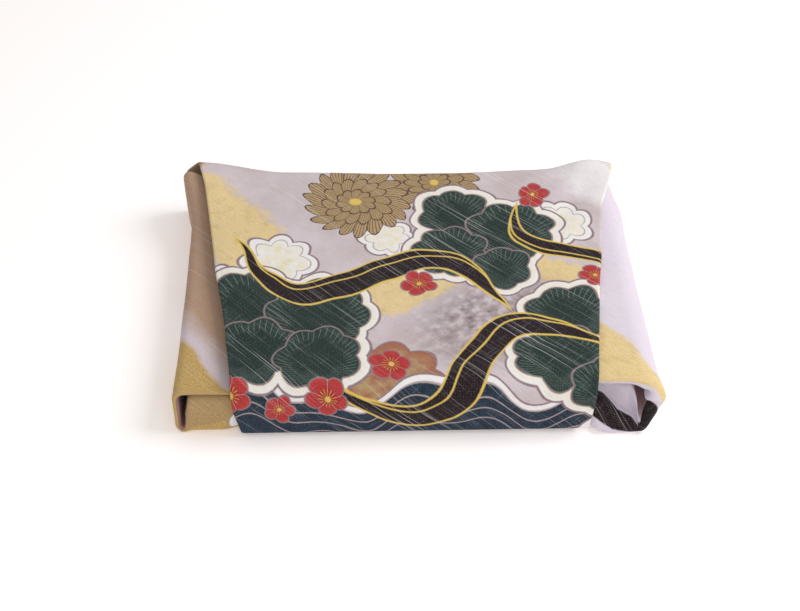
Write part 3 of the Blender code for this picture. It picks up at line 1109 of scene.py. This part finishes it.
# %% Pine boughs
PINES = (  # each bough's lobes from the back to the front: x, y, radius, scallops, turn
    ((-9.6, -1.0, 2.9, 7, 0.0), (-5.6, -1.9, 3.2, 8, 20.0),
     (-9.2, -5.0, 2.7, 7, 50.0), (-5.4, -5.6, 2.6, 7, 0.0)),
    ((3.0, 7.6, 2.4, 7, 15.0), (6.4, 5.6, 2.9, 8, 40.0),
     (2.6, 4.0, 2.5, 7, 0.0), (5.6, 2.2, 1.9, 6, 0.0)),
    ((9.2, -2.2, 2.5, 7, 30.0), (8.4, -5.6, 2.7, 7, 30.0), (10.8, -7.9, 2.1, 6, 0.0)),
)
WHITE_EDGE = 0.60
NEEDLES = 30.0
NEEDLE_RIM = (0.55, 0.38)  # how far in the needles' middle lies, and half their length
needle_field = ramp(mottle, 3.0, -1.0)
moss_field = ramp(grains, 3.0, -1.3)
for bough in PINES:
    lobes = [scalloped((x, y), radius, scallops, 0.15, turn) for x, y, radius, scallops, turn in bough]
    whole = lobes[0]
    for lobe in lobes[1:]:
        whole = over(whole, lobe)
    colour = paint(colour, inside(whole - WHITE_EDGE), WHITE)
    colour = paint(colour, inside(whole - 0.28, 0.25) * 0.55, CREAM)
    colour = paint(colour, along_edge(whole - WHITE_EDGE, 0.15), OUTLINE)
    for (x, y, radius, _, turn), lobe in zip(bough, lobes):
        _, angle = polar(local((x, y - radius * 0.55), turn))
        depth = ramp(lobe, -0.9, -0.1)
        green = paint(GREEN, maths("MAXIMUM", depth, needle_field) * 0.85, DEEP_GREEN)
        green = paint(green, moss_field * 0.35, MOSS)
        needles = ramp(bows(angle * NEEDLES), -5.0, 1.3)
        rim_only = inside(maths("ABSOLUTE", lobe + NEEDLE_RIM[0]) - NEEDLE_RIM[1], 0.10)
        colour = paint(colour, inside(lobe), green)
        colour = paint(colour, needles * rim_only * 0.45, PALE_LINE)
        colour = paint(colour, along_edge(lobe, 0.12), OUTLINE)
print(len(tree.nodes), "nodes with the boughs")

# %% [markdown]
# ## Ribbons
#
# Dark ribbons with gold edges tie the motifs together. `ribbon` is a sine wave with a swelling width, and one
# more dark ribbon, in the rim of the right open end, is made of short strokes because it has to follow
# that rim.

# %% Ribbons
RIBBONS = (  # x, y, turn, half length, waves, height, width
    (-2.6, 1.6, -16.0, 9.0, 1.10, 2.7, 2.1),
    (3.4, -6.4, 14.0, 8.4, 1.12, 2.6, 2.1),
    (9.8, 3.4, 120.0, 5.8, 1.00, 1.7, 1.3),
)
RIM_RIBBON = (  # x, y, half width
    (9.0, 36.1, 0.70),
    (10.4, 35.6, 0.68),
    (11.3, 35.1, 0.42),
    (12.5, 34.85, 0.32),
    (13.4, 34.9, 0.35),
)
RIM_RIBBON_END = ((13.8, 35.2, 1.02), (14.3, 36.4, 1.05))
GOLD_STRIPE = 0.17  # how far off the middle a ribbon's stripe lies, as a share of its width

# Aubergine with fine tan flecks.
tan_flecked_aubergine = paint(AUBERGINE, ramp(grains, 9.0, -6.4) * 0.5, TAN)
for x, y, turn, half_length, waves, height, width in RIBBONS:
    shape, offset = ribbon((x, y), turn, half_length, waves, height, width)
    shown = inside(shape)
    colour = paint(colour, shown, tan_flecked_aubergine)
    colour = paint(colour, shown * along_edge(offset - width * GOLD_STRIPE, 0.11), GOLD_LINE)
    colour = paint(colour, along_edge(shape, 0.14), GOLD_LINE)
rim_ribbon = over(stroke(RIM_RIBBON), stroke(RIM_RIBBON_END))
colour = paint(colour, inside(rim_ribbon), tan_flecked_aubergine)
print(len(tree.nodes), "nodes with the ribbons")

# %% [markdown]
# ## Plum blossoms
#
# Small red blossoms are scattered last, over everything else. Five petals are five bows of the angle, made
# blunter by a square root, and the same bows draw the lines between the petals. A little shell lies under
# the front edge, as a last touch of white in the dark sea.

# %% Blossoms
BLOSSOMS = (  # x, y, radius, turn
    (-10.6, -8.2, 1.25, 0.0),
    (-7.6, -9.3, 1.05, 30.0),
    (-4.9, -8.4, 1.15, 15.0),
    (-1.4, -6.2, 1.2, 50.0),
    (0.4, 1.0, 1.1, 10.0),
    (8.2, 9.0, 1.15, 35.0),
    (11.2, 0.9, 1.0, 0.0),
)
NOTCH = 0.34  # how deep the petals are parted, as a share of the radius
SHELL = (10.3, -11.3, 1.6, 0.9, 32.0)
for x, y, radius, turn in BLOSSOMS:
    away, angle = polar(local((x, y), turn))
    petals = maths("SQRT", bows(angle * 2.5))
    flower = away - maths("MULTIPLY_ADD", petals, radius * NOTCH, radius * (1 - NOTCH))
    colour = paint(colour, inside(flower), RED)
    colour = paint(colour, inside(away - radius * 0.5, radius * 0.4) * 0.8, PETAL_RED)
    colour = paint(colour, inside(flower) * ramp(petals, -5.0, 1.5), PALE_LINE)
    colour = paint(colour, along_edge(flower, 0.10), OUTLINE)
    stamens = ramp(bows(angle * 7.5), -4.0, 1.4)
    colour = paint(colour, inside(away - radius * 0.42) * stamens, GOLD_LINE)
    colour = paint(colour, inside(away - radius * 0.13), GOLD_LINE)
shell = mist(*SHELL)
colour = paint(colour, inside(shell, 0.05), WHITE)
colour = paint(colour, along_edge(shell, 0.12), OUTLINE)
print(len(tree.nodes), "nodes with the blossoms")

# %% [markdown]
# ## Weave and slubs
#
# The cotton is a plain weave of uneven yarns, and here and there a yarn is thicker for a few centimetres. The
# dye doesn't cover such a slub, so it shows as a pale streak. Slubs are noise that is drawn out along the
# threads. The same values make the colour and the relief, so that both lie in the same place.

# %% Weave and slubs
YARN = 0.062  # cm from one yarn to the next
# how much painted shade darkens the lower yarns
YARN_SHADE_SHARE = 0.14
RELIEF = (0.55, 0.00025)  # strength, and the height in metres of a relief of 1

thread_u, thread_v = split(threads)
weave = maths("SINE", thread_u * (math.pi / YARN)) * maths("SINE", thread_v * (math.pi / YARN))
slub_field = noise_on(threads, 1.0, (0.11, 15.0, 1.0), detail=0.0)
slubs = ramp(slub_field, 16.0, -11.6)
fine_field = noise_on(threads, 1.0, (0.22, 20.0, 1.0), detail=0.0)
fine_slubs = ramp(fine_field, 9.0, -6.0)
cross_field = noise_on(threads, 1.0, (16.0, 0.6, 1.0), detail=0.0)
cross_slubs = ramp(cross_field, 7.0, -4.9)
grain_field = noise_on(threads, 13.0, (0.55, 1.0, 1.0), detail=1.0)
grain = ramp(grain_field, 3.0, -1.55)
streaks = slubs * 0.40 + fine_slubs * 0.15 + cross_slubs * 0.10 + grain * 0.08
undyed = maths("ADD", streaks, maths("MULTIPLY_ADD", weave, 0.05, 0.0), clamp=True)
# Darker streaks along the threads: painted shade where yarns lie lower.
yarn_shade_field = noise_on(threads, 1.0, (1.5, 17.0, 1.0), detail=2.0)
sunk = ramp(yarn_shade_field, 3.6, -1.7)
colour = paint(colour, sunk * YARN_SHADE_SHARE, YARN_SHADE_COLOUR)
colour = paint(colour, undyed, UNDYED)
relief = slubs * 0.5 + fine_field * 0.5 + cross_field * 0.35 + weave * 0.22
bump = node("ShaderNodeBump", {}, {"Strength": RELIEF[0], "Distance": RELIEF[1], "Height": relief})
print(len(tree.nodes), "nodes with the weave")

# %% [markdown]
# ## The surface
#
# Washed cotton is matt: rough, with hardly any gloss and a trace of sheen from loose fibres. These are the
# same all over the cloth, so they are numbers on the shader's own sockets, and only the colour and the
# relief are worked out by nodes.

# %% Surface
COTTON = {"Roughness": 0.85, "Specular IOR Level": 0.10, "Sheen Weight": 0.04, "Sheen Roughness": 0.5}
tree.links.new(colour.socket, surface.inputs["Base Color"])
tree.links.new(bump.socket, surface.inputs["Normal"])
for name, value in COTTON.items():
    surface.inputs[name].default_value = value
mesh.materials.append(cotton)
print("cotton with", len(tree.nodes), "nodes and", len(tree.links), "links")

# %% [markdown]
# ## Table and light
#
# The wrap lies on a white table under soft, even light. One broad lamp from the right and above leaves the
# left roll in shade, and a weaker one in front and the white room do the rest. The table glows a little,
# which lifts the shadows on it without lighting the cloth much. More lamps would make more shadows than the
# photograph has.

# %% Table
TABLE_SIZE = 10.0
TABLE_WHITE = (0.95, 0.95, 0.96, 1.0)
TABLE_GLOW = (0.25, 0.21, 0.19, 1.0)  # the shadows are pale and warm
TABLE_FINISH = {
    "Base Color": TABLE_WHITE,
    "Roughness": 0.9,
    "Emission Color": TABLE_GLOW,
    "Emission Strength": 1.0,
}

bm = bmesh.new()
bmesh.ops.create_grid(bm, x_segments=1, y_segments=1, size=TABLE_SIZE)
table_mesh = bpy.data.meshes.new("table")
bm.to_mesh(table_mesh)
bm.free()
table = bpy.data.objects.new("table", table_mesh)
bpy.context.scene.collection.objects.link(table)
table_paint = bpy.data.materials.new("white_table")
table_paint.use_nodes = True
table_surface = table_paint.node_tree.nodes["Principled BSDF"]
for name, value in TABLE_FINISH.items():
    table_surface.inputs[name].default_value = value
table_mesh.materials.append(table_paint)
print("table", table.dimensions[:2])

# %% Light
ROOM_WHITE = (1.0, 1.0, 1.0, 1.0)
ROOM_LIGHT = 0.50
LAMPS = (  # name, place, size, power
    ("key", (0.85, 0.10, 0.95), 0.7, 9.0),
    ("front_fill", (0.15, -1.1, 0.9), 1.0, 4.0),
)

world = bpy.data.worlds.new("studio")
bpy.context.scene.world = world
world.use_nodes = True
room = world.node_tree.nodes["Background"]
room.inputs["Color"].default_value = ROOM_WHITE
room.inputs["Strength"].default_value = ROOM_LIGHT
for name, place, size, power in LAMPS:
    lamp = bpy.data.lights.new(name, "AREA")
    lamp.size = size
    lamp.energy = power
    lit = bpy.data.objects.new(name, lamp)
    bpy.context.scene.collection.objects.link(lit)
    lit.location = place
    lit.rotation_mode = "QUATERNION"
    lit.rotation_quaternion = (-lit.location).to_track_quat("-Z", "Y")
bpy.context.scene.view_settings.view_transform = "Standard"
print(len(LAMPS), "lamps")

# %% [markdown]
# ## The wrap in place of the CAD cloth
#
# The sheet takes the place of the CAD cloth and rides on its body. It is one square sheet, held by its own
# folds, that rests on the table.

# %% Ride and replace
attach(wrap, "root")
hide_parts("cloth")
print("declared", wrap.name)
